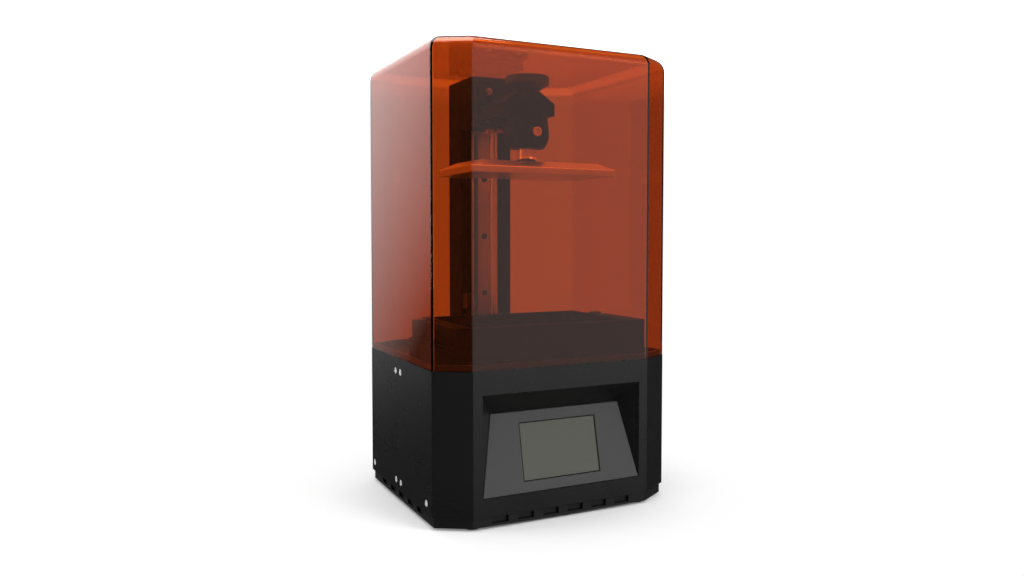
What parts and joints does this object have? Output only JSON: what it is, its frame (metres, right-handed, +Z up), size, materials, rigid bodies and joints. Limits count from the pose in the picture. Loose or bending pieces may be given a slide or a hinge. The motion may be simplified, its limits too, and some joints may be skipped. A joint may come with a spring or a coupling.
{
  "type": "resin printer",
  "caption": "Desktop resin 3D printer: black base with tilted touch panel, screw-driven arm with ball-mounted build plate, resin vat and lift-off amber cover.",
  "frame": {"origin": "on the table, under the middle of the body", "axes": "+Z up, the front face looks towards -Y, +X is to the right seen from the front"},
  "size_m": [0.23, 0.2, 0.405],
  "materials": {
    "shell_plastic": "moulded, fine satin texture",
    "gloss_black": "moulded, polished",
    "panel_plastic": "moulded, semi-gloss",
    "screen_glass": "coated cover glass over a dark display",
    "display_glass": "polished",
    "display_cell": "polished film",
    "amber_acrylic": "transparent, polished",
    "painted_steel": "powder coated",
    "zinc_steel": "zinc plated",
    "ground_steel": "ground and polished",
    "black_steel": "black oxide",
    "black_anodised": "bead blasted, black anodised",
    "bare_aluminium": "milled",
    "motor_paint": "black painted laminations",
    "nut_brass": "turned",
    "circuit_board": "solder mask",
    "chip_plastic": "moulded",
    "lamp_board": "white lacquer",
    "lamp_lens": "clear moulded",
    "foot_rubber": "matt",
    "clear_film": "clear film"
  },
  "bodies": {
    "base": {"bottom_tray": "painted_steel", "plinth": "shell_plastic", "rubber_feet": "foot_rubber", "front_shell": "shell_plastic", "rear_shell": "shell_plastic", "case_screws": "zinc_steel", "deck_plate": "painted_steel", "deck_screws": "black_steel", "cover_seat": "shell_plastic", "panel_bezel": "panel_plastic", "touch_screen": "screen_glass", "lcd_frame": "shell_plastic", "lcd_panel": "display_cell", "lcd_glass": "display_glass", "light_shroud": "bare_aluminium", "uv_led_board": "lamp_board", "uv_leds": "lamp_lens", "heat_sink": "bare_aluminium", "standoffs": "nut_brass", "circuit_boards": "circuit_board", "board_parts": "chip_plastic", "fan_frame": "shell_plastic", "fan_guard": "shell_plastic", "power_inlet": "shell_plastic", "inlet_pin": "zinc_steel", "switch_housing": "shell_plastic", "usb_port": "zinc_steel", "z_base": "bare_aluminium", "column": "black_anodised", "column_cap": "black_anodised", "tower_screws": "black_steel", "linear_rail": "ground_steel", "rail_screws": "black_steel", "limit_switch": "shell_plastic", "motor_bracket": "zinc_steel", "stepper_motor": "motor_paint"},
    "cover": {"cover": "amber_acrylic"},
    "carriage": {"rail_carriage": "ground_steel", "z_carriage": "black_anodised", "lead_nut": "nut_brass", "platform_arm": "black_anodised", "arm_screws": "zinc_steel", "ball_housing": "black_anodised", "ball_retainer": "black_anodised", "clamp_screw": "zinc_steel"},
    "drive_screw": {"motor_shaft": "ground_steel", "shaft_coupler": "bare_aluminium", "lead_screw": "ground_steel"},
    "knob": {"platform_knob": "gloss_black"},
    "ball": {"levelling_ball": "ground_steel"},
    "platform": {"platform_stem": "bare_aluminium", "build_plate": "bare_aluminium"},
    "vat": {"vat_body": "black_anodised", "vat_film": "clear_film", "film_frame": "bare_aluminium", "film_screws": "zinc_steel"},
    "thumbscrew_left": {"vat_knob_left": "gloss_black"},
    "thumbscrew_right": {"vat_knob_right": "gloss_black"},
    "fan": {"fan_rotor": "shell_plastic"},
    "rocker": {"power_rocker": "gloss_black"}
  },
  "joints": [
    {"name": "cover_lift", "type": "slide", "parent": "base", "child": "cover", "axis": [0, 0, 1], "range_m": [0, 0.3]},
    {"name": "carriage_slide", "type": "slide", "parent": "base", "child": "carriage", "axis": [0, 0, 1], "range_m": [-0.1617, 0]},
    {"name": "screw_turn", "type": "hinge", "parent": "base", "child": "drive_screw", "pos_m": [0, 0.045, 0.2], "axis": [0, 0, 1], "continuous": true},
    {"name": "knob_turn", "type": "hinge", "parent": "carriage", "child": "knob", "pos_m": [0, -0.028, 0.386], "axis": [0, 0, 1], "continuous": true},
    {"name": "ball_pitch", "type": "hinge", "parent": "carriage", "child": "ball", "pos_m": [0, -0.028, 0.332], "axis": [1, 0, 0], "range_deg": [-1.5, 1.5]},
    {"name": "ball_roll", "type": "hinge", "parent": "ball", "child": "platform", "pos_m": [0, -0.028, 0.332], "axis": [0, 1, 0], "range_deg": [-1, 1]},
    {"name": "vat_lift", "type": "slide", "parent": "base", "child": "vat", "axis": [0, 0, 1], "range_m": [0, 0.12]},
    {"name": "thumbscrew_left_turn", "type": "hinge", "parent": "vat", "child": "thumbscrew_left", "pos_m": [-0.0925, 0.002, 0.16], "axis": [0, 0, 1], "continuous": true},
    {"name": "thumbscrew_right_turn", "type": "hinge", "parent": "vat", "child": "thumbscrew_right", "pos_m": [0.0925, 0.002, 0.16], "axis": [0, 0, 1], "continuous": true},
    {"name": "fan_spin", "type": "hinge", "parent": "base", "child": "fan", "pos_m": [-0.054, 0.09, 0.062], "axis": [0, 1, 0], "continuous": true},
    {"name": "rocker_tilt", "type": "hinge", "parent": "base", "child": "rocker", "pos_m": [0.062, 0.095, 0.066], "axis": [1, 0, 0], "range_deg": [0, 16]}
  ],
  "couplings": [
    {"joint": "screw_turn", "follows": "carriage_slide", "rad_per_m": -785.4}
  ]
}
